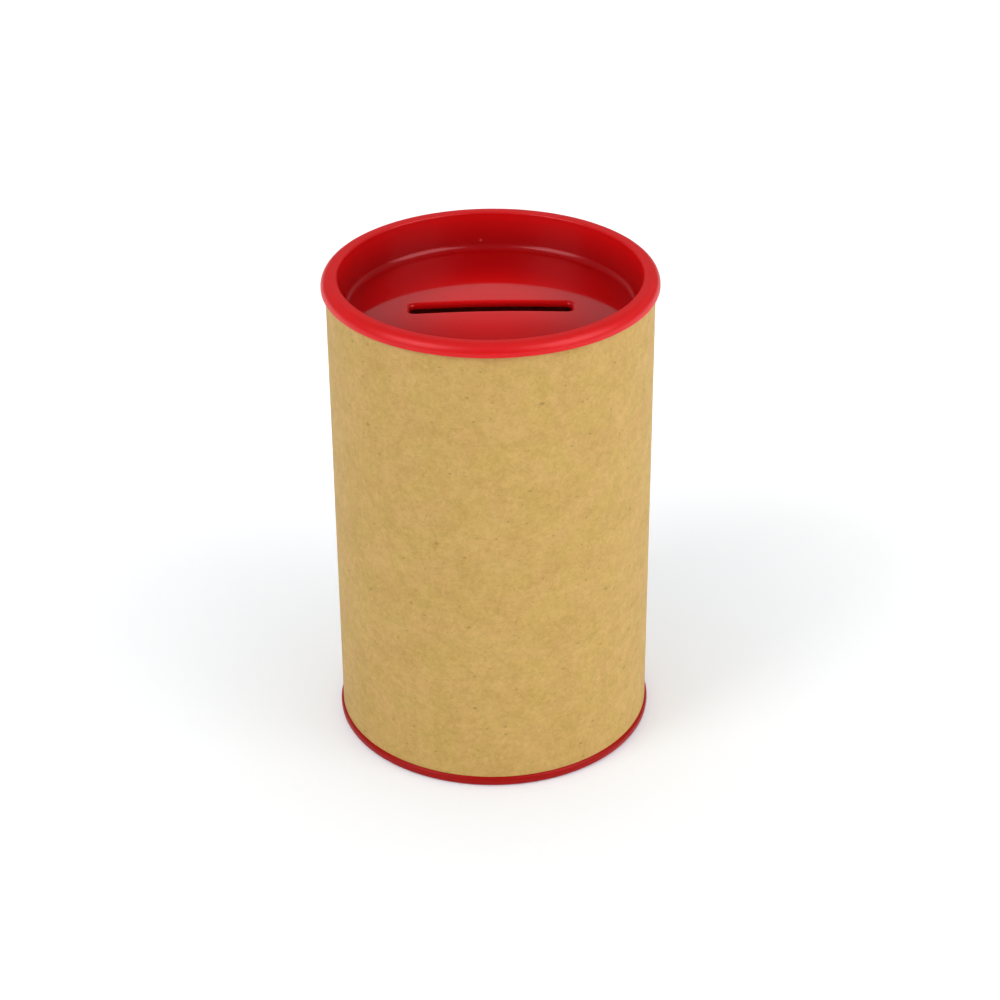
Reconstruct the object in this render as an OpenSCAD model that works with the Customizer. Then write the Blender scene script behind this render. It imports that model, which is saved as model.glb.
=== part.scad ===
// Round donation box that stands on a table: a board tube covered in kraft paper,
// closed at the top by a recessed lid with a money slot, which pulls off to empty the
// box, and at the bottom by a recessed cap that is pressed in and glued.
// Origin: centre of the ring that the box stands on. +Z is up and the slot runs along X.

/* [Tube] */
// Outside diameter of the covered tube
tube_d = 76; // [64:1:110]
// Length of the tube from end to end
tube_len = 113.4; // [60:0.2:220]
// Thickness of the kraft paper round the outside
wrap_t = 0.15; // [0.1:0.05:0.25]
// How far the kraft paper laps over its own end, at the back
lap_w = 9; // [4:1:20]
// Thickness of each of the three plies of board
ply_t = 0.36; // [0.3:0.02:0.8]
// Gap between the two edges of a ply, where they meet
butt_gap = 0.3; // [0.1:0.1:1]
// Thickness of the paper that lines the inside
liner_t = 0.15; // [0.1:0.05:0.3]
// Thickness of the glue between two layers of the tube
glue_t = 0.03; // [0.02:0.01:0.06]

/* [Lid] */
// Depth of the recess, from the top of the rim to the edge of the floor
recess_h = 9.3; // [6:0.1:20]
// Thickness of the lid's wall, inside the tube
lid_wall = 1.25; // [1:0.05:2]
// How much less the radius of the recess is at its floor than at its mouth
lid_draft = 0.7; // [0.3:0.1:1.5]
// Thickness of the floor
lid_floor_t = 1.4; // [1:0.1:2.5]
// How much higher the middle of the floor is than its edge
floor_crown = 0.8; // [0.2:0.1:2]
// Thickness of the rim over the end of the tube
rim_t = 1.5; // [1:0.1:3]
// How far the rim stands out past the tube
rim_over = 1.05; // [0.9:0.05:2.5]
// Height of the rim's outer side, from its top to its lip
rim_h = 2.9; // [2.2:0.1:6]
// Radius of the rim's outer top edge
rim_round = 2.2; // [0.8:0.1:2.6]
// Radius of both edges of the rim's lip
lip_round = 0.35; // [0.1:0.05:0.4]
// Radius of the recess's top edge
mouth_round = 0.5; // [0.3:0.1:1.9]
// Radius between the recess's wall and its floor
floor_round = 1.8; // [0.5:0.1:2.5]
// Height of the band of the wall that grips the tube
grip_h = 3; // [1:0.5:5]
// How much the wall's outer radius shrinks below that band
plug_taper = 0.5; // [0.1:0.1:0.8]
// Bevel round the bottom edge that leads the lid into the tube
lead_in = 0.7; // [0.3:0.1:1]

/* [Slot] */
// Length of the clear opening
slot_len = 37.5; // [30:0.5:50]
// Width of the clear opening
slot_w = 4.5; // [3:0.1:8]
// Radius of the clear opening's corners
slot_corner = 1.3; // [0.3:0.1:1.4]
// Radius of the rounded edge round the top of the slot
slot_edge = 0.9; // [0.2:0.1:1]

/* [Base cap] */
// Thickness of the flange under the end of the tube
flange_t = 2.5; // [1.6:0.1:5]
// How far the flange stands out past the tube
flange_over = 0.6; // [0.2:0.1:2]
// Radius of both edges of the flange's outer side
flange_round = 1; // [0.3:0.1:1.2]
// Height of the panel's underside over the table
base_recess = 6; // [4:0.2:12]
// Thickness of the cap's wall, inside the tube
base_wall = 1.25; // [1:0.05:2]
// How much less the radius of the hollow is at its panel than at its mouth
base_draft = 0.5; // [0.3:0.1:1.2]
// Thickness of the panel
panel_t = 1.4; // [1:0.1:2.5]
// Radius of the hollow's bottom edge
foot_round = 0.6; // [0.3:0.1:1]
// Radius between the hollow's wall and its panel
panel_round = 1.2; // [0.5:0.1:2]

/* [Fits] */
// Gap between the inside of the tube and the lid or the base cap, all round
plug_gap = 0.05; // [0.02:0.01:0.1]
// Gap between the outside of the tube and the rim's lip, all round
lip_gap = 0.3; // [0.2:0.05:0.4]

/* [Hidden] */
$fn = 120;

// Depth by which a cut runs past the face that it opens
past = 1;
// Number of steps from the middle of the crowned floor to its edge
crown_steps = 16;
// Least straight stretch that is left between two rounded edges
land = 0.05;
// Directions from the axis of the seams in the paper and the board; +Y is the back
lap_at = 90;
outer_seam_at = 215;
middle_seam_at = 335;
inner_seam_at = 95;

tube_r = tube_d / 2;
outer_ply_r = tube_r - wrap_t - glue_t;
middle_ply_r = outer_ply_r - ply_t - glue_t;
inner_ply_r = middle_ply_r - ply_t - glue_t;
liner_r = inner_ply_r - ply_t - glue_t;
bore_r = liner_r - liner_t;
plug_r = bore_r - plug_gap;

tube_bottom = flange_t;
tube_top = tube_bottom + tube_len;
box_top = tube_top + rim_t;
floor_top = box_top - recess_h;
floor_bottom = floor_top - lid_floor_t;
crown_top = floor_top + floor_crown;

mouth_r = plug_r - lid_wall;
rim_r = tube_r + rim_over;
mouth_top_round = min(mouth_round, (rim_r - mouth_r - land) / 2);
rim_top_width = rim_r - mouth_r - mouth_top_round;
rim_top_round = min(rim_round, rim_top_width - land, rim_h - lip_round - land);
crown_r = mouth_r - lid_draft - floor_round;
flange_r = tube_r + flange_over;
flange_edge_round = min(flange_round, (flange_t - land) / 2);

// The colours of the finished pieces
red_plastic = [0.76, 0.05, 0.07];
kraft_paper = [0.78, 0.64, 0.40];
board_grey = [0.62, 0.56, 0.47];
liner_paper = [0.74, 0.66, 0.52];

// ---------------------------------------------------------------- paper tube

// Angle that a distance along an arc of this radius takes up.
function arc_angle(distance, radius) = 360 * distance / (2 * PI * radius);

// A layer of the tube's full length that goes round from one angle to another.
module layer(outer_r, thick, from, turn) {
    rotate([0, 0, from])
        rotate_extrude(angle = turn)
            translate([outer_r - thick, tube_bottom]) square([thick, tube_len]);
}

// A ply of board, whose two edges meet at a seam.
module ply(outer_r, seam_at) {
    gap = arc_angle(butt_gap, outer_r);
    color(board_grey) layer(outer_r, ply_t, seam_at + gap / 2, 360 - gap);
}

// The kraft paper goes once round the board and laps over its own end.
module kraft_wrap() {
    lap = arc_angle(lap_w, tube_r);
    color(kraft_paper) union() {
        layer(tube_r, wrap_t, 0, 360);
        layer(tube_r + wrap_t, 2 * wrap_t, lap_at - lap / 2, lap);
    }
}

module board_ply_outer() { ply(outer_ply_r, outer_seam_at); }

module board_ply_middle() { ply(middle_ply_r, middle_seam_at); }

module board_ply_inner() { ply(inner_ply_r, inner_seam_at); }

module inner_liner() {
    color(liner_paper) layer(liner_r, liner_t, 0, 360);
}

// ---------------------------------------------------------------- moulded caps

// Half section of the low dome between the crowned floor and the level of its edge. Its
// height is the square of how far inside the edge it is, so it starts and ends level.
module crown_section() {
    polygon([
        for (i = [0 : crown_steps]) let (share = i / crown_steps)
            [share * crown_r, floor_crown * pow(1 - share * share, 2)],
        [0, 0]
    ]);
}

// Half section of the hollow of a cup, with its mouth at height 0 and its floor below.
// The wall is the straight line that touches both the mouth's round and the floor's.
module cup_hollow(mouth_r, draft, depth, top_round, bottom_round) {
    mouth_c = [mouth_r + top_round, -top_round];
    floor_c = [mouth_r - draft - bottom_round, bottom_round - depth];
    step = mouth_c - floor_c;
    tilt = atan2(step.y, step.x) - acos((top_round + bottom_round) / norm(step));
    out = [cos(tilt), sin(tilt)];
    difference() {
        union() {
            polygon([
                [0, -depth], [floor_c.x, -depth], floor_c, floor_c + bottom_round * out,
                mouth_c - top_round * out, mouth_c, [mouth_c.x, past], [0, past]
            ]);
            translate(floor_c) circle(bottom_round);
        }
        translate(mouth_c) circle(top_round);
    }
}

// What rounding takes off a corner: turn 0 rounds a corner that is at the lower left of
// its solid, and each further 90 degrees goes one corner on, anticlockwise.
module corner_cut(corner, radius, turn) {
    translate(corner) rotate(turn) difference() {
        square(radius);
        translate([radius, radius]) circle(radius);
    }
}

// Outline of the slot, widened all round by a margin.
module slot_outline(margin) {
    square([slot_len - 2 * slot_corner, slot_w + 2 * margin], center = true);
    square([slot_len + 2 * margin, slot_w - 2 * slot_corner], center = true);
    for (x = [-1, 1], y = [-1, 1])
        translate([x * (slot_len / 2 - slot_corner), y * (slot_w / 2 - slot_corner)])
            circle(slot_corner + margin);
}

// The round bead that a full rounded edge leaves round the slot, just below the floor's crown.
module slot_bead() {
    run_x = slot_len - 2 * slot_corner;
    run_y = slot_w - 2 * slot_corner;
    bend = slot_corner + slot_edge;
    for (turn = [0, 180]) rotate([0, 0, turn]) {
        translate([-run_x / 2, run_y / 2 + bend, 0])
            rotate([0, 90, 0]) cylinder(h = run_x, r = slot_edge);
        translate([run_x / 2 + bend, run_y / 2, 0])
            rotate([90, 0, 0]) cylinder(h = run_y, r = slot_edge);
        translate([run_x / 2, run_y / 2, 0])
            rotate_extrude(angle = 90) translate([bend, 0]) circle(slot_edge);
        translate([-run_x / 2, run_y / 2, 0]) rotate([0, 0, 90])
            rotate_extrude(angle = 90) translate([bend, 0]) circle(slot_edge);
    }
}

// Everything that is cut away for the slot.
module slot_cut() {
    translate([0, 0, floor_bottom - past])
        linear_extrude(crown_top - floor_bottom + 2 * past) slot_outline(0);
    difference() {
        translate([0, 0, crown_top - slot_edge])
            linear_extrude(slot_edge + past) slot_outline(slot_edge);
        translate([0, 0, crown_top - slot_edge]) slot_bead();
    }
}

// Half section of the lid: a cup that plugs the tube, and a rim that covers its end.
module lid_section() {
    lip_bottom = box_top - rim_h;
    lip_inner_r = tube_r + lip_gap;
    difference() {
        union() {
            polygon([
                [0, floor_bottom], [plug_r - plug_taper - lead_in, floor_bottom],
                [plug_r - plug_taper, floor_bottom + lead_in],
                [plug_r, tube_top - grip_h], [plug_r, tube_top], [0, tube_top]
            ]);
            translate([0, tube_top]) square([rim_r, rim_t]);
            translate([lip_inner_r, lip_bottom]) square([rim_r - lip_inner_r, rim_h]);
        }
        difference() {
            translate([0, box_top])
                cup_hollow(mouth_r, lid_draft, recess_h, mouth_top_round, floor_round);
            translate([0, floor_top]) crown_section();
        }
        translate([0, floor_bottom]) crown_section();
        corner_cut([rim_r, box_top], rim_top_round, 180);
        corner_cut([rim_r, lip_bottom], lip_round, 90);
        corner_cut([lip_inner_r, lip_bottom], lip_round, 0);
    }
}

// The lid, with its slot.
module lid() {
    color(red_plastic) difference() {
        rotate_extrude() lid_section();
        slot_cut();
    }
}

// The base cap: a cup with its mouth down, and a flange that the tube stands on.
module base_cap() {
    cap_top = base_recess + panel_t;
    color(red_plastic) rotate_extrude() difference() {
        union() {
            square([flange_r, flange_t]);
            polygon([
                [0, 0], [plug_r, 0], [plug_r, cap_top - lead_in],
                [plug_r - lead_in, cap_top], [0, cap_top]
            ]);
        }
        corner_cut([flange_r, 0], flange_edge_round, 90);
        corner_cut([flange_r, flange_t], flange_edge_round, 180);
        mirror([0, 1])
            cup_hollow(plug_r - base_wall, base_draft, base_recess, foot_round, panel_round);
    }
}

lid();
kraft_wrap();
board_ply_outer();
board_ply_middle();
board_ply_inner();
inner_liner();
base_cap();
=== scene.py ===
import math

import bpy
import numpy as np
from mathutils import Matrix, Vector


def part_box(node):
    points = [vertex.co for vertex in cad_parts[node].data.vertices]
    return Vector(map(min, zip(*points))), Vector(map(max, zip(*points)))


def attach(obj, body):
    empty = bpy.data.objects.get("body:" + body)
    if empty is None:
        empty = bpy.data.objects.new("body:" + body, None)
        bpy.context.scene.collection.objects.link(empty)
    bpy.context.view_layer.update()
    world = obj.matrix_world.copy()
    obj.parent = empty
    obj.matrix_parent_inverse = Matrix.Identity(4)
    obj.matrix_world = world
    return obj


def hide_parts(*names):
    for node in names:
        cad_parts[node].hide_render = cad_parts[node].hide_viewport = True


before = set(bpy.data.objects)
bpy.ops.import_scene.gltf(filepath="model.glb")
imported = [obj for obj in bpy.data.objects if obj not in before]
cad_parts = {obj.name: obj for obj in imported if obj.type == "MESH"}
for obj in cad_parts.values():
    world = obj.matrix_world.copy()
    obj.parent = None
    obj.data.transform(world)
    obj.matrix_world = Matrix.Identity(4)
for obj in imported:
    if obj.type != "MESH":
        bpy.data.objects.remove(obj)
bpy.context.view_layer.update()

# ------------------------------------------------------------------ inner liner
# The tube is lined with one thin sheet of unbleached paper, wound into a cylinder so that
# its two ends meet. It is glued to the board, and its cut edge shows when the lid is off.


def sheet_layer(name, outer_r, thick, low_z, high_z, start, turn, lap=0.0, wave=0.0, seed=0):
    """A sheet wound round the axis, as a closed shell with an outer and an inner skin.

    A point at angle a and height z lies at radius outer_r, plus the lap's rise, plus a
    wave of the outer skin. The rise is one thickness over the last lap radians, and
    comes on along a smooth step. The wave is a few sines round and along the tube.
    """
    around = np.linspace(start, start + turn, SHEET_STEPS_ROUND)
    up = np.linspace(low_z, high_z, SHEET_STEPS_UP)
    a, z = np.meshgrid(around, up, indexing="ij")
    rise = np.clip((a - (start + turn - lap)) / LAP_STEP_ANGLE, 0.0, 1.0) if lap else 0.0 * a
    rise = thick * rise * rise * (3.0 - 2.0 * rise)
    rng = np.random.default_rng(seed)
    swell = np.zeros_like(a)
    for _ in range(WAVES):
        round_count, along_count = rng.integers(1, 6), rng.uniform(0.3, 2.2)
        phase = rng.uniform(0.0, 2.0 * math.pi, 2)
        swell += (np.sin(round_count * a + phase[0])
                  * np.sin(2.0 * math.pi * along_count * (z - low_z) / (high_z - low_z) + phase[1]))
    outer = outer_r + rise + wave * swell / WAVES
    inner = outer_r - thick + rise
    skins = [np.stack([radius * np.cos(a), radius * np.sin(a), z], axis=-1)
             for radius in (outer, inner)]
    rows, columns = a.shape
    points = np.concatenate([skin.reshape(-1, 3) for skin in skins])
    number = np.arange(rows * columns).reshape(rows, columns)
    back = number + rows * columns

    def quads(first, second, third, fourth):
        """Faces of four corners, from four grids of point numbers."""
        return np.stack([first, second, third, fourth], axis=-1).reshape(-1, 4)

    faces = [
        quads(number[:-1, :-1], number[1:, :-1], number[1:, 1:], number[:-1, 1:]),
        quads(back[:-1, 1:], back[1:, 1:], back[1:, :-1], back[:-1, :-1]),
        quads(number[:-1, -1], number[1:, -1], back[1:, -1], back[:-1, -1]),
        quads(back[:-1, 0], back[1:, 0], number[1:, 0], number[:-1, 0]),
        quads(number[0, :-1], number[0, 1:], back[0, 1:], back[0, :-1]),
        quads(back[-1, :-1], back[-1, 1:], number[-1, 1:], number[-1, :-1]),
    ]
    piece = mesh_piece(name, points, np.concatenate(faces))
    unrolled = np.stack([outer_r * a, z, np.zeros_like(a)], axis=-1).reshape(-1, 3)
    unrolled = np.concatenate([unrolled, unrolled + [0.0, 0.0, thick]])
    keep_flat_place(piece, unrolled)
    piece.data.set_sharp_from_angle(angle=SHARP_ANGLE)
    return piece


def mesh_piece(name, points, faces):
    """An object whose mesh has these points and these faces of three or four corners."""
    mesh = bpy.data.meshes.new(name)
    mesh.from_pydata(points.tolist(), [], [tuple(f) for f in faces.tolist()])
    mesh.polygons.foreach_set("use_smooth", np.ones(len(mesh.polygons), dtype=bool))
    mesh.update()
    piece = bpy.data.objects.new(name, mesh)
    bpy.context.scene.collection.objects.link(piece)
    return piece


def keep_flat_place(piece, places):
    """Stores where each point lay on the flat sheet before it was wound, in metres."""
    layer = piece.data.attributes.new("flat_place", "FLOAT_VECTOR", "POINT")
    layer.data.foreach_set("vector", np.asarray(places, np.float32).ravel())


class Strand:
    """A shader socket as a number: arithmetic on strands adds Math nodes."""

    def __init__(self, finish, socket):
        self.finish = finish
        self.socket = socket

    def beside(self, name):
        """Another output of the same node."""
        return Strand(self.finish, self.socket.node.outputs[name])

    def math(self, operation, *others):
        """A Math node of this operation on this strand and the others."""
        inputs = {i: v for i, v in enumerate((self,) + others)}
        return self.finish.node("ShaderNodeMath", {"operation": operation}, inputs)

    def __add__(self, other):
        return self.math("ADD", other)

    def __radd__(self, other):
        return self.math("ADD", other)

    def __sub__(self, other):
        return self.math("SUBTRACT", other)

    def __rsub__(self, other):
        return self.finish.node("ShaderNodeMath", {"operation": "SUBTRACT"}, {0: other, 1: self})

    def __mul__(self, other):
        return self.math("MULTIPLY", other)

    def __rmul__(self, other):
        return self.math("MULTIPLY", other)

    def __pow__(self, other):
        return self.math("POWER", other)

    def between(self, low, high):
        """0 below low and 1 above high, with a smooth step between; low may be the higher."""
        return self.finish.node(
            "ShaderNodeMapRange", {"interpolation_type": "SMOOTHSTEP"},
            {"Value": self, "From Min": low, "From Max": high, "To Min": 0.0, "To Max": 1.0})


class Finish:
    """A material with one Principled surface, to which nodes are added by name."""

    def __init__(self, name, constants):
        self.material = bpy.data.materials.new(name)
        self.material.use_nodes = True
        self.tree = self.material.node_tree
        self.surface = self.tree.nodes["Principled BSDF"]
        for socket, value in constants.items():
            self.surface.inputs[socket].default_value = value

    def node(self, kind, settings, inputs, output=0):
        """Adds a node: settings first, then values or links of its sockets."""
        made = self.tree.nodes.new(kind)
        for key, value in settings.items():
            setattr(made, key, value)
        for key, value in inputs.items():
            if isinstance(value, Strand):
                self.tree.links.new(value.socket, made.inputs[key])
            else:
                made.inputs[key].default_value = value
        return Strand(self, made.outputs[output])

    def mix(self, share, first, second, blend="MIX"):
        """A colour between two: share 0 gives the first and 1 the second."""
        return self.node(
            "ShaderNodeMix", {"data_type": "RGBA", "blend_type": blend, "clamp_result": False},
            {0: share, 6: whole(first), 7: whole(second)}, output=2)

    def stretch(self, place, scale, turn=0.0, shift=(0.0, 0.0, 0.0)):
        """The place moved and turned about Z, then scaled, for a pattern to read."""
        return self.node(
            "ShaderNodeMapping", {"vector_type": "TEXTURE"},
            {"Vector": place, "Scale": tuple(1.0 / s for s in scale),
             "Rotation": (0.0, 0.0, turn), "Location": shift})

    def noise(self, place, scale, detail=2.0, roughness=0.5, distortion=0.0):
        """A cloudy pattern from 0 to 1; a larger scale makes it finer."""
        return self.node(
            "ShaderNodeTexNoise", {},
            {"Vector": place, "Scale": scale, "Detail": detail, "Roughness": roughness,
             "Distortion": distortion})

    def bump(self, height, depth, below=None):
        """A normal that leans with the slope of the height, over another if one is given."""
        inputs = {"Height": height, "Distance": depth, "Strength": 1.0}
        if below is not None:
            inputs["Normal"] = below
        return self.node("ShaderNodeBump", {}, inputs)

    def feed(self, **links):
        """Links strands to the surface; an underscore stands for a space."""
        for key, value in links.items():
            self.tree.links.new(value.socket, self.surface.inputs[key.replace("_", " ")])

    def let_through(self, share, colour):
        """A share of the light passes through the surface and is tinted on its way."""
        through = self.node("ShaderNodeBsdfTranslucent", {}, {"Color": whole(colour)})
        both = self.node("ShaderNodeMixShader", {}, {
            0: share, 1: Strand(self, self.surface.outputs[0]), 2: through})
        self.tree.links.new(both.socket, self.tree.nodes["Material Output"].inputs["Surface"])


def whole(colour):
    """A colour of three parts as one of four; a strand stays as it is."""
    return colour if isinstance(colour, Strand) else (*colour, 1.0)


def paper_finish(name, colour, dark, pale, fleck, grain_depth, sheen_roughness):
    """Paper or board: clouded pulp, short fibres in three directions, flecks and a tooth.

    The place on the flat sheet is scaled so that one unit is a millimetre. A fibre is a
    stretched noise that passes a threshold, so each is a few millimetres long. A fleck is
    a ragged dot of bark round a point of a Voronoi pattern, and few of them show. The
    brown drifts between a greener and a rosier one over about a centimetre.
    """
    made = Finish(name, {"Roughness": sheen_roughness, "Specular IOR Level": 0.35})
    flat = made.node("ShaderNodeAttribute", {"attribute_name": "flat_place"}, {}, output=1)
    place = made.stretch(flat, PER_MM)
    cloud = made.noise(place, 0.11, detail=3.0, roughness=0.6)
    drift = made.noise(place, 0.13, detail=1.5, roughness=0.5)
    clump = made.noise(place, 0.33, detail=1.0)
    pulp = made.noise(place, 0.85, detail=3.0, roughness=0.6, distortion=0.5)
    tooth = made.noise(place, 3.6, detail=2.0, roughness=0.6)
    light_fibres = dark_fibres = None
    for turn, shift in FIBRE_LAYERS:
        run = made.stretch(place, FIBRE_SHAPE, turn, shift)
        fibre = made.noise(run, 1.0, detail=1.0, roughness=0.4, distortion=0.6)
        here_dark = fibre.between(0.62, 0.75)
        here_light = fibre.between(0.38, 0.25)
        dark_fibres = here_dark if dark_fibres is None else dark_fibres + here_dark
        light_fibres = here_light if light_fibres is None else light_fibres + here_light
    specks = made.node(
        "ShaderNodeTexVoronoi", {"voronoi_dimensions": "2D"},
        {"Vector": made.stretch(place, FLECK_CELLS), "Scale": 1.0, "Randomness": 1.0})
    ragged = specks + (tooth - 0.5) * 0.14 + (clump - 0.5) * 0.20
    speck = ragged.between(0.05, 0.0) * fleck
    # How much each pattern counts in the shade of the brown.
    shade = (cloud - 0.5) * 1.1 + (clump - 0.5) * 0.9 + (pulp - 0.5) * 1.3 + (tooth - 0.5) * 0.1
    shade = shade + light_fibres * 0.26 - dark_fibres * 0.32
    tone = made.mix(shade.between(-0.8, 0.8), dark, pale)
    tone = made.mix(0.4, tone, colour)
    tint = made.mix(drift.between(0.3, 0.7), GREENER, ROSIER)
    tone = made.mix(1.0, tone, tint, "MULTIPLY")
    tone = made.mix(speck, tone, tuple(0.65 * c for c in dark))
    height = pulp * 0.5 + tooth * 0.35 + light_fibres * 0.25 - dark_fibres * 0.1
    made.feed(Base_Color=tone, Normal=made.bump(height, grain_depth))
    made.feed(Roughness=sheen_roughness - 0.08 + pulp * 0.16)
    return made.material


SHEET_STEPS_ROUND = 361
SHEET_STEPS_UP = 61
LAP_STEP_ANGLE = math.radians(1.6)
WAVES = 5
SHARP_ANGLE = math.radians(40.0)
PER_MM = (1000.0, 1000.0, 1000.0)
FIBRE_SHAPE = (0.6, 2.3, 1.0)
FLECK_CELLS = (0.13, 0.20, 1.0)
GREENER = (0.98, 1.006, 0.94)
ROSIER = (1.02, 0.994, 1.07)
# Each layer of fibres has its own direction, in radians, and its own shift.
FIBRE_LAYERS = ((0.15, (3.1, 1.7, 0.0)), (1.20, (8.3, 5.9, 0.0)), (2.35, (1.9, 9.4, 0.0)))

liner_low, liner_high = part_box("inner_liner")
liner_r = liner_high.x
liner_thick = 0.00015
liner = sheet_layer(
    "tube_liner", liner_r, liner_thick, liner_low.z, liner_high.z,
    start=math.radians(70.0), turn=math.radians(360.0), wave=0.0, seed=3)
liner.data.materials.append(paper_finish(
    "unbleached_liner", colour=(0.47, 0.36, 0.22), dark=(0.36, 0.26, 0.15),
    pale=(0.58, 0.47, 0.31), fleck=0.5, grain_depth=0.00005, sheen_roughness=0.75))
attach(liner, "tube")
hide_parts("inner_liner")

# ------------------------------------------------------------------ board plies
# Three plies of grey-brown chipboard give the tube its stiffness. Each is a sheet wound
# once round the one below and glued to it, with its two edges butted at a seam.
board = paper_finish(
    "grey_board", colour=(0.33, 0.26, 0.18), dark=(0.20, 0.15, 0.10),
    pale=(0.44, 0.36, 0.26), fleck=0.8, grain_depth=0.00012, sheen_roughness=0.85)
ply_thick = 0.00036
butt_gap = 0.0003
# A seam's direction from the axis, in degrees; 90 is the back.
for ply_name, seam_at in (("inner", 95.0), ("middle", 335.0), ("outer", 215.0)):
    node_name = "board_ply_" + ply_name
    ply_low, ply_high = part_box(node_name)
    ply_r = ply_high.x
    ply = sheet_layer(
        "ply_" + ply_name, ply_r, ply_thick, ply_low.z, ply_high.z,
        start=math.radians(seam_at) + butt_gap / (2.0 * ply_r),
        turn=2.0 * math.pi - butt_gap / ply_r)
    ply.data.materials.append(board)
    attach(ply, "tube")
    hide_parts(node_name)

# ------------------------------------------------------------------ kraft wrap
# The outside is one sheet of uncoated brown kraft paper, glued round the board. It laps
# over its own end at the back, where the step of one thickness can be felt.
wrap_low, wrap_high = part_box("kraft_wrap")
wrap_r = wrap_high.x
wrap_thick = 0.00015
wrap_wave = 0.00003
lap_width = 0.009
lap_middle = math.radians(90.0)
lap_angle = lap_width / wrap_r
wrap = sheet_layer(
    "kraft_cover", wrap_r, wrap_thick, wrap_low.z, wrap_high.z,
    start=lap_middle - lap_angle / 2.0, turn=2.0 * math.pi + lap_angle, lap=lap_angle,
    wave=wrap_wave, seed=11)
wrap.data.materials.append(paper_finish(
    "brown_kraft", colour=(0.655, 0.415, 0.112), dark=(0.50, 0.295, 0.072),
    pale=(0.79, 0.535, 0.188), fleck=0.55, grain_depth=0.00002, sheen_roughness=0.62))
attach(wrap, "tube")
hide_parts("kraft_wrap")

# ------------------------------------------------------------------ base cap
# The base cap is moulded in glossy red plastic: a shallow cup, mouth down, pressed and
# glued into the tube. The tube stands on its flange, whose edge shows as a thin red line.


def rounded_path(corners, closed):
    """A path through corners, each rounded by an arc, as an array of (radius, height).

    A corner is (radius, height, round). The arc touches both sides at the distance
    round * tan(half the turn) from the corner. A short straight is held beside each
    arc, so that smooth shading doesn't spread from the arc over the flat beside it.
    """
    path = []
    count = len(corners)
    for i, (x, y, bend) in enumerate(corners):
        here = np.array([x, y])
        if not closed and i in (0, count - 1):
            path.append(here[None, :])
            continue
        before = np.array(corners[i - 1][:2]) - here
        after = np.array(corners[(i + 1) % count][:2]) - here
        before_length, after_length = np.linalg.norm(before), np.linalg.norm(after)
        before, after = before / before_length, after / after_length
        half_turn = (math.pi - math.acos(np.clip(before @ after, -1.0, 1.0))) / 2.0
        reach = bend * math.tan(half_turn)
        start, end = here + before * reach, here + after * reach
        middle = (before + after) / np.linalg.norm(before + after)
        centre = here + middle * bend / math.cos(half_turn)
        steps = max(4, int(math.ceil(half_turn * 2.0 / ARC_STEP)))
        share = np.linspace(-1.0, 1.0, steps + 1)[:, None] * half_turn
        cross = (end - start) / max(np.linalg.norm(end - start), 1e-12)
        arc = centre - middle * bend * np.cos(share) + cross * bend * np.sin(share)
        hold_before = min(HOLD, 0.4 * (before_length - reach))
        hold_after = min(HOLD, 0.4 * (after_length - reach))
        path.append(np.concatenate(
            [(start + before * hold_before)[None], arc, (end + after * hold_after)[None]]))
    return np.concatenate(path)


def finer(path, longest, closed):
    """The same path with points added so that no straight is longer than the limit."""
    ends = np.concatenate([path[1:], path[:1]]) if closed else path[1:]
    starts = path if closed else path[:-1]
    pieces = []
    for a, b in zip(starts, ends):
        parts = max(1, int(math.ceil(np.linalg.norm(b[:2] - a[:2]) / longest)))
        pieces.append(a + (b - a) * (np.arange(parts) / parts)[:, None])
    if not closed:
        pieces.append(path[-1:])
    return np.concatenate(pieces)


def turned(name, path, steps):
    """A path that starts and ends on the axis, turned once round it into a closed skin.

    The point (radius, height) at angle a lies at (radius cos a, radius sin a, height).
    The first and the last point of the path become one vertex each, the poles.
    """
    a = np.arange(steps) * 2.0 * math.pi / steps
    ring = path[1:-1]
    x = ring[:, 0, None] * np.cos(a)
    y = ring[:, 0, None] * np.sin(a)
    z = np.repeat(ring[:, 1, None], steps, axis=1)
    points = np.concatenate([
        np.stack([x, y, z], axis=-1).reshape(-1, 3),
        [[0.0, 0.0, path[0, 1]], [0.0, 0.0, path[-1, 1]]]])
    number = np.arange(len(ring) * steps).reshape(len(ring), steps)
    beside = np.roll(number, -1, axis=1)
    quads = np.stack([number[:-1], beside[:-1], beside[1:], number[1:]], axis=-1).reshape(-1, 4)
    first, last = len(points) - 2, len(points) - 1
    fan_first = np.stack([np.full(steps, first), beside[0], number[0]], axis=-1)
    fan_last = np.stack([np.full(steps, last), number[-1], beside[-1]], axis=-1)
    mesh = bpy.data.meshes.new(name)
    mesh.from_pydata(points.tolist(), [], quads.tolist() + fan_first.tolist() + fan_last.tolist())
    mesh.polygons.foreach_set("use_smooth", np.ones(len(mesh.polygons), dtype=bool))
    mesh.update()
    piece = bpy.data.objects.new(name, mesh)
    bpy.context.scene.collection.objects.link(piece)
    return piece


ARC_STEP = math.radians(9.0)
HOLD = 0.00006
HAIR_SHAPE = (0.05, 5.0, 0.05)
# A change between two looks of the plastic is spread over this length.
SOFT_EDGE = 0.0004
SPOT_R = 0.0004
SPOT_RED = (0.95, 0.22, 0.22)
LIGHT_RED = (0.9, 0.004, 0.006)


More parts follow.
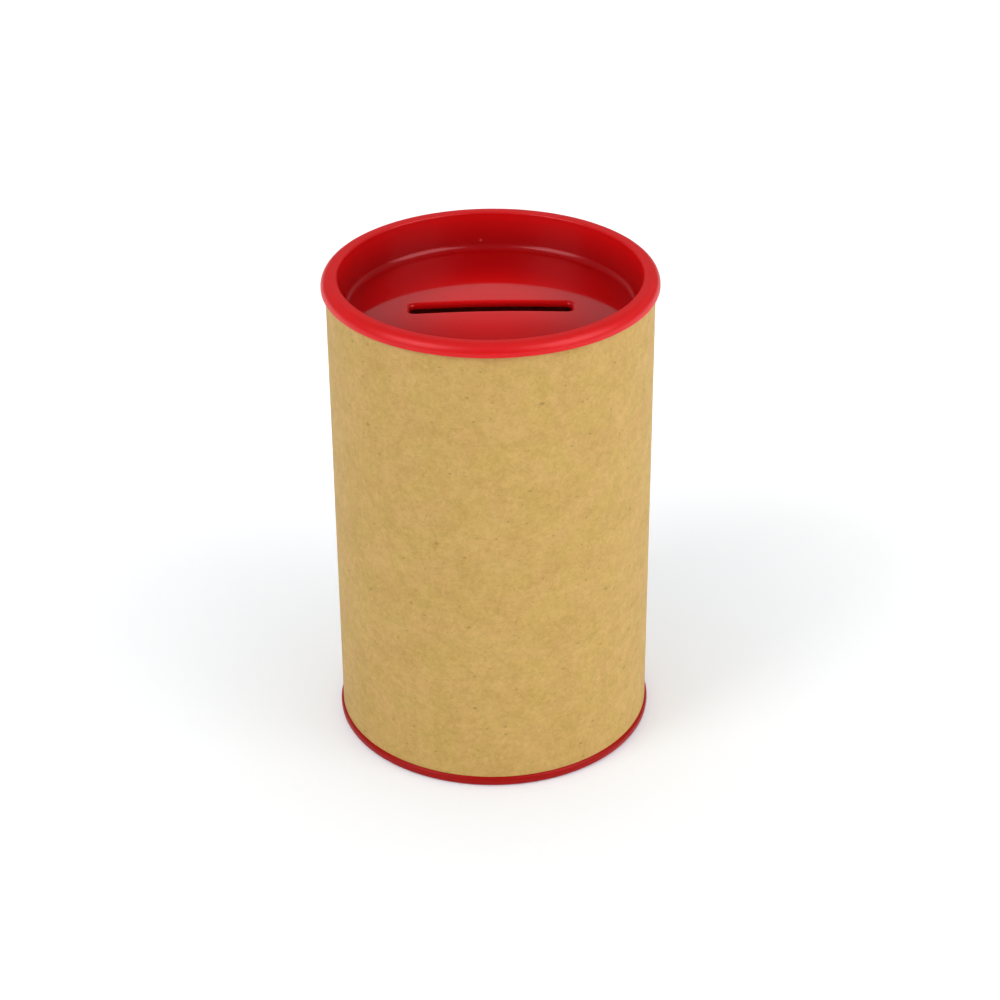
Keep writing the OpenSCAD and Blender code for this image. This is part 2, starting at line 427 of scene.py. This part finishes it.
def red_plastic_finish(name, outside_colour, deep, shine, recess_r, recess_top, mirror_z,
                       above_mirror_z, pale_spot):
    """Moulded plastic: a slow ripple, a fine peel, hair scratches and a small paler spot.

    Inside the recess, which is within recess_r of the axis and below recess_top, the
    plastic keeps its deep colour. Outside it the plastic has its outer colour, which on the
    lid is a little paler, as painted light on the rim. The deep colour is painted darker with
    depth and with the distance from the axis, as shade in the corner of the recess, and
    below mirror_z, as shade in the slot. The panel has its mould's mirror polish, which is
    full at the height mirror_z, gone at above_mirror_z, and half as good in the round where
    the panel meets the wall. A small paler spot lies round one given point. A share of the
    light comes through the wall, tinted red.
    """
    made = Finish(name, {
        "IOR": 1.5, "Specular IOR Level": shine, "Specular Tint": (1.0, 0.45, 0.50, 1.0)})
    where = made.node("ShaderNodeTexCoord", {}, {}, output=3)
    place = made.stretch(where, PER_MM)
    ripple = made.noise(place, 0.10, detail=1.0)
    peel = made.noise(place, 1.4, detail=2.0)
    cloud = made.noise(place, 0.30, detail=3.0)
    hair = None
    for turn, shift in FIBRE_LAYERS:
        run = made.stretch(place, HAIR_SHAPE, turn, shift)
        line = made.noise(run, 1.0, detail=0.0).between(0.745, 0.76)
        hair = line if hair is None else hair + line
    across = made.node("ShaderNodeSeparateXYZ", {}, {"Vector": where}, output=0)
    from_axis = (across * across + across.beside("Y") ** 2.0) ** 0.5
    height = across.beside("Z")
    in_recess = (from_axis.between(recess_r + SOFT_EDGE, recess_r)
                 * height.between(recess_top + SOFT_EDGE, recess_top - SOFT_EDGE))
    mirror = height.between(above_mirror_z, mirror_z) * in_recess
    mirror = mirror * (1.0 - from_axis.between(0.92 * recess_r, 0.95 * recess_r) * 0.5)
    outside_red = made.mix(cloud, tuple(0.95 * c for c in outside_colour), tuple(1.05 * c for c in outside_colour))
    deep_red = made.mix(cloud, tuple(0.96 * c for c in deep), tuple(1.04 * c for c in deep))
    # Painted shade: the deep red darkens towards the wall and down the recess, and below the
    # panel's top in the slot.
    corner = from_axis.between(0.17 * recess_r, 0.75 * recess_r) * height.between(
        recess_top + 0.002, recess_top - 0.008)
    corner = corner.math("MAXIMUM", height.between(mirror_z - 0.0002, mirror_z - 0.0007) * 0.6)
    deep_red = made.mix(corner, deep_red, tuple(0.55 * c for c in deep))
    from_spot = made.node(
        "ShaderNodeVectorMath", {"operation": "DISTANCE"}, {0: where, 1: pale_spot}, output=1)
    # The colour outside the recess; on the lid it is a little paler, as painted light on the rim.
    red = made.mix(in_recess, outside_red, deep_red)
    red = made.mix(from_spot.between(SPOT_R, 0.5 * SPOT_R) * 0.7, red, SPOT_RED)
    rough = 0.33 - in_recess * 0.03 - mirror * 0.25 + cloud * 0.03 + hair * 0.04
    normal = made.bump(ripple, 0.00001)
    normal = made.bump(peel, 0.000001, below=normal)
    made.feed(Base_Color=red, Roughness=rough, Normal=normal)
    made.let_through(0.3, LIGHT_RED)
    return made.material


base_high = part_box("base_cap")[1]
flange_r = base_high.x
flange_top = 0.0025
flange_round = 0.0010
cap_top = base_high.z
plug_r = 0.03645
base_taper, base_lead_in = 0.0003, 0.0006
bore_mouth_r = 0.0352
base_draft = 0.0005
foot_round, panel_round = 0.0006, 0.0012
panel_z = 0.006
gate_foot_r, gate_r, gate_height = 0.0012, 0.0010, 0.0004
crisp = 0.0001
BASE_STRAIGHT = 0.002
BASE_STEPS = 240

# Half the section of the cap, from the top of its panel out over the plug and the flange,
# in under the foot and along the panel's underside to the mark of the gate.
base_path = finer(rounded_path([
    (0.0, cap_top, 0.0), (plug_r - base_taper, cap_top, base_lead_in),
    (plug_r, flange_top, crisp), (flange_r, flange_top, flange_round),
    (flange_r, 0.0, flange_round), (bore_mouth_r, 0.0, foot_round),
    (bore_mouth_r - base_draft, panel_z, panel_round), (gate_foot_r, panel_z, crisp),
    (gate_r, panel_z - gate_height, crisp), (0.0, panel_z - gate_height, 0.0)],
    closed=False), BASE_STRAIGHT, closed=False)
base = turned("glued_base", base_path, BASE_STEPS)
base.data.materials.append(red_plastic_finish(
    "red_plastic_base", outside_colour=(0.54, 0.0090, 0.0055), deep=(0.72, 0.0045, 0.0070),
    shine=0.4, recess_r=bore_mouth_r, recess_top=panel_z, mirror_z=panel_z,
    above_mirror_z=panel_z - 0.001, pale_spot=(0.0, 0.0075, panel_z)))
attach(base, "tube")
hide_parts("base_cap")

# ------------------------------------------------------------------ lid
# The lid is moulded in the same red plastic: a cup that plugs the tube, with a rim that
# covers the tube's end and a lip that comes down outside it. The slot is in its floor.


def slot_outline(length, width, corner, margin, shares):
    """Points of a rectangle with round corners, widened all round by a margin.

    A share runs from 0 to 1 round the outline of the clear opening, anticlockwise from
    the middle of its right end. Each share is on one of eight parts, four sides and four
    corners, and lies there at its own length along that part.
    """
    half_x, half_y = length / 2.0 - corner, width / 2.0 - corner
    arc = corner * math.pi / 2.0
    parts = np.array([half_y, arc, 2 * half_x, arc, 2 * half_y, arc, 2 * half_x, arc, half_y])
    ends = np.cumsum(parts)
    at = shares * ends[-1]
    part = np.minimum(np.searchsorted(ends, at, side="right"), len(parts) - 1)
    along = (at - (ends - parts)[part]) / parts[part]
    bend = corner + margin
    corner_x = np.array([half_x, half_x, 0, -half_x, -half_x, -half_x, 0, half_x, half_x])[part]
    corner_y = np.array([0, half_y, half_y, half_y, 0, -half_y, -half_y, -half_y, 0])[part]
    begin = np.array([0, 0, 90, 90, 180, 180, 270, 270, 360])[part]
    angle = np.radians(begin + np.where(part % 2 == 1, 90.0 * along, 0.0))
    slide = np.zeros((len(shares), 2))
    slide[part == 0, 1] = half_y * along[part == 0]
    slide[part == 2, 0] = half_x * (1.0 - 2.0 * along[part == 2])
    slide[part == 4, 1] = half_y * (1.0 - 2.0 * along[part == 4])
    slide[part == 6, 0] = half_x * (2.0 * along[part == 6] - 1.0)
    slide[part == 8, 1] = half_y * (along[part == 8] - 1.0)
    return np.stack([corner_x + slide[:, 0] + bend * np.cos(angle),
                     corner_y + slide[:, 1] + bend * np.sin(angle)], axis=-1)


lid_low, lid_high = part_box("lid")
rim_r = lid_high.x
rim_top = lid_high.z
rim_height = 0.0029
floor_bottom = lid_low.z
floor_thick = 0.0014
floor_top = floor_bottom + floor_thick
tube_top = wrap_high.z
lip_gap, lip_round = 0.0003, 0.00035
lip_inner_r = wrap_r + lip_gap
lip_bottom = rim_top - rim_height
mouth_r = 0.0352
lid_draft = 0.0007
wall_foot_r = mouth_r - lid_draft
grip_height, plug_taper, lead_in = 0.003, 0.0005, 0.0007
slot_length, slot_width, slot_corner, slot_edge = 0.0375, 0.0045, 0.0013, 0.0009
disc_r = 0.027
floor_crown = 0.0008
floor_round = 0.0018
mouth_round, rim_round = 0.0005, 0.0022
# Down to this depth the top of the recess's wall keeps the rim's paler red, as painted light, and
# the painted shade of the recess starts below it.
bright_top = 0.0021
lid_spot = (-0.00165, 0.03465, 0.1103)
LID_STEPS = 400
LID_STRAIGHT = 0.0012

# The section of the lid as one loop. Out to disc_r it is measured from the slot's clear
# outline, and past that from the axis, so the loop is carried round both at once.
edge_turn = np.linspace(0.0, math.pi / 2.0, 13)
slot_wall = np.array([[0.0, floor_bottom + crisp], [0.0, floor_top - slot_edge - HOLD]])
slot_round = np.stack([slot_edge * (1.0 - np.cos(edge_turn)),
                       floor_top - slot_edge + slot_edge * np.sin(edge_turn)], axis=-1)
outside = finer(rounded_path([
    (disc_r, floor_top, 0.0), (wall_foot_r, floor_top, floor_round),
    (mouth_r, rim_top, mouth_round), (rim_r, rim_top, rim_round),
    (rim_r, lip_bottom, lip_round), (lip_inner_r, lip_bottom, lip_round),
    (lip_inner_r, tube_top, crisp), (plug_r, tube_top, crisp),
    (plug_r, tube_top - grip_height, grip_height),
    (plug_r - plug_taper, floor_bottom, lead_in),
    (disc_r, floor_bottom, 0.0)], closed=False), LID_STRAIGHT, closed=False)
spread = np.linspace(0.0, 1.0, 15)[1:-1]
near = 0.01
shares = np.arange(LID_STEPS) / LID_STEPS
ring_angle = 2.0 * math.pi * shares
ring = np.stack([np.cos(ring_angle), np.sin(ring_angle)], axis=-1)


def slot_ring(margin, z):
    """The slot's outline, widened by a margin, at the height z."""
    flat = slot_outline(slot_length, slot_width, slot_corner, margin, shares)
    return np.concatenate([flat, np.full((LID_STEPS, 1), z)], axis=-1)


def round_ring(radius, z):
    """A circle round the axis at the height z."""
    return np.concatenate([radius * ring, np.full((LID_STEPS, 1), z)], axis=-1)


rows = [slot_ring(m, z) for m, z in slot_wall]
rows += [slot_ring(m, z) for m, z in slot_round]
top_inner, top_outer = slot_ring(slot_edge, floor_top), round_ring(disc_r, floor_top)
rows += [top_inner + (top_outer - top_inner) * s for s in np.concatenate([[near], spread])]
rows += [round_ring(r, z) for r, z in outside]
under_inner = slot_ring(crisp, floor_bottom)
under_outer = round_ring(disc_r, floor_bottom)
rows += [under_outer + (under_inner - under_outer) * s
         for s in np.concatenate([spread, [1.0 - near, 1.0]])]
lid_points = np.stack(rows)

# The floor is crowned: it rises to its middle by the square of how far it is inside its
# edge, so it leaves the edge level and is level again in the middle.
edge_share = np.hypot(lid_points[..., 0], lid_points[..., 1]) / (wall_foot_r - floor_round)
lid_points[..., 2] += floor_crown * np.clip(1.0 - edge_share ** 2, 0.0, 1.0) ** 2
row_count = len(rows)
number = np.arange(row_count * LID_STEPS).reshape(row_count, LID_STEPS)
beside = np.roll(number, -1, axis=1)
above = np.roll(number, -1, axis=0)
corner = np.roll(above, -1, axis=1)
lid_faces = np.stack([number, beside, corner, above], axis=-1).reshape(-1, 4)
lid = mesh_piece("slotted_lid", lid_points.reshape(-1, 3), lid_faces)
# The lid's rim red is a little paler than its recess red: painted light on the rim.
lid.data.materials.append(red_plastic_finish(
    "red_plastic_lid", outside_colour=(0.98, 0.0045, 0.0060), deep=(0.95, 0.0055, 0.0075),
    shine=1.0, recess_r=mouth_r, recess_top=rim_top - bright_top,
    mirror_z=floor_top + floor_crown + 0.0001, above_mirror_z=floor_top + floor_round,
    pale_spot=lid_spot))
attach(lid, "lid")
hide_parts("lid")

# ------------------------------------------------------------------ floor and light
# A seamless white table under the box, in a studio whose back wall and ceiling are pale
# and whose front is dark. The table is seen as plain white but keeps its shadows.
TABLE_SIZE = 6.0
BOX_MIDDLE = 0.06
bpy.ops.mesh.primitive_plane_add(size=TABLE_SIZE)
table = bpy.context.object
table.name = "table"
white = Finish("white_table", {"Roughness": 0.9, "Specular IOR Level": 0.0,
                               "Base Color": (0.86, 0.86, 0.86, 1.0), "Emission Strength": 1.0})
ray = white.node("ShaderNodeLightPath", {}, {})
seen = ray.beside("Is Camera Ray").math("MAXIMUM", ray.beside("Is Glossy Ray"))
where = white.node("ShaderNodeTexCoord", {}, {}, output=3)
reach = white.node("ShaderNodeVectorMath", {"operation": "LENGTH"}, {"Vector": where}, output=1)
# The glow is least by the box, where the shadow is deepest, and rises to plain white at a
# little over a metre. By the box it is painted a little blue, to cancel the warm light that
# the kraft throws on the table.
glow = white.mix(reach.between(0.04, 0.20), (0.218, 0.248, 0.278), (0.43, 0.43, 0.43))
glow = white.mix(reach.between(0.3, 1.2), glow, (1.0, 1.0, 1.0))
white.feed(Emission_Color=white.mix(seen, (0.0, 0.0, 0.0), glow))
table.data.materials.append(white.material)


class Studio(Finish):
    """The air round the table, whose background takes nodes as a surface does."""

    def __init__(self, name):
        self.material = bpy.data.worlds.new(name)
        self.material.use_nodes = True
        self.tree = self.material.node_tree
        self.surface = self.tree.nodes["Background"]


studio = Studio("studio")
bpy.context.scene.world = studio.material
ray = studio.node("ShaderNodeLightPath", {}, {})
toward = studio.node("ShaderNodeTexCoord", {}, {}, output=0)
to_back = studio.node("ShaderNodeSeparateXYZ", {}, {"Vector": toward}, output=1)
upward = to_back.beside("Z")
soft_level = (to_back + upward * 0.6).between(-0.3, 0.5) * 0.26 + 0.26
lit_band = upward.between(0.28, 0.36) * upward.between(0.50, 0.42)
back_wall = to_back.between(-0.3, 0.5) * (lit_band * 0.38 + 0.12)
glossy = ray.beside("Is Glossy Ray")
strength = soft_level * (1.0 - glossy) + (back_wall + 0.03) * glossy
studio.surface.inputs["Color"].default_value = (1.0, 1.0, 1.0, 1.0)
studio.feed(Strength=ray.beside("Is Camera Ray").math("MAXIMUM", strength))


def softbox(name, side, rise, reach, wide, tall, glow, mirrored=False):
    """A flat lamp round the box, turned to face it; a glow of 1 is seen as white.

    A mirrored lamp shows only as a reflection, and any other only lights matt surfaces.
    """
    lamp = bpy.data.lights.new(name, "AREA")
    lamp.shape = "RECTANGLE"
    lamp.size, lamp.size_y = wide, tall
    lamp.energy = glow * math.pi * wide * tall
    holder = bpy.data.objects.new(name, lamp)
    bpy.context.scene.collection.objects.link(holder)
    holder.visible_glossy = mirrored
    holder.visible_diffuse = not mirrored
    side, rise = math.radians(side), math.radians(rise)
    level_reach = reach * math.cos(rise)
    holder.location = (level_reach * math.sin(side), -level_reach * math.cos(side),
                       reach * math.sin(rise))
    aim = Vector((0.0, 0.0, BOX_MIDDLE)) - holder.location
    holder.rotation_euler = aim.to_track_quat("-Z", "Y").to_euler()


# A side is in degrees from the front, to the right. On either side a card is mirrored in
# the plastic, a main and a key light the box from above, and a low fill lights its skirt.
softbox("top_lamp", side=180.0, rise=80.0, reach=1.3, wide=1.0, tall=1.0, glow=0.6)
for name, card_side, card_wide, side, key, fill_side, fill in (
        ("left", -57.0, 0.75, -53.0, 5.8, -38.0, 0.4),
        ("right", 59.0, 0.95, 60.0, 2.4, 64.0, 3.5)):
    softbox(name + "_card", card_side, rise=40.0, reach=1.25, wide=card_wide, tall=1.0,
            glow=2.4, mirrored=True)
    softbox(name + "_main", side * 0.8, rise=40.0, reach=1.15, wide=1.0, tall=0.8, glow=0.62)
    softbox(name + "_key", side, rise=46.0, reach=1.2, wide=0.4, tall=0.4, glow=key)
    softbox(name + "_fill", fill_side, rise=6.0, reach=0.55, wide=0.7, tall=0.11, glow=fill)

# ------------------------------------------------------------------ camera
# The camera stands in front of the box, looks down on it and leans very slightly.
camera_reach, camera_height = 0.50155, 0.34379
look_down, look_aside, lean = math.radians(29.751), math.radians(-0.209), math.radians(-0.402)
walk_round = math.radians(-1.08)
LENS, SENSOR = 85.957, 36.0
view = bpy.data.cameras.new("camera")
view.lens, view.sensor_width = LENS, SENSOR
viewer = bpy.data.objects.new("camera", view)
bpy.context.scene.collection.objects.link(viewer)
viewer.matrix_world = (
    Matrix.Rotation(walk_round, 4, "Z")
    @ Matrix.Translation((0.0, -camera_reach, camera_height))
    @ Matrix.Rotation(look_aside, 4, "Z")
    @ Matrix.Rotation(math.pi / 2.0 - look_down, 4, "X")
    @ Matrix.Rotation(lean, 4, "Z"))
bpy.context.scene.camera = viewer
bpy.context.scene.view_settings.view_transform = "Standard"
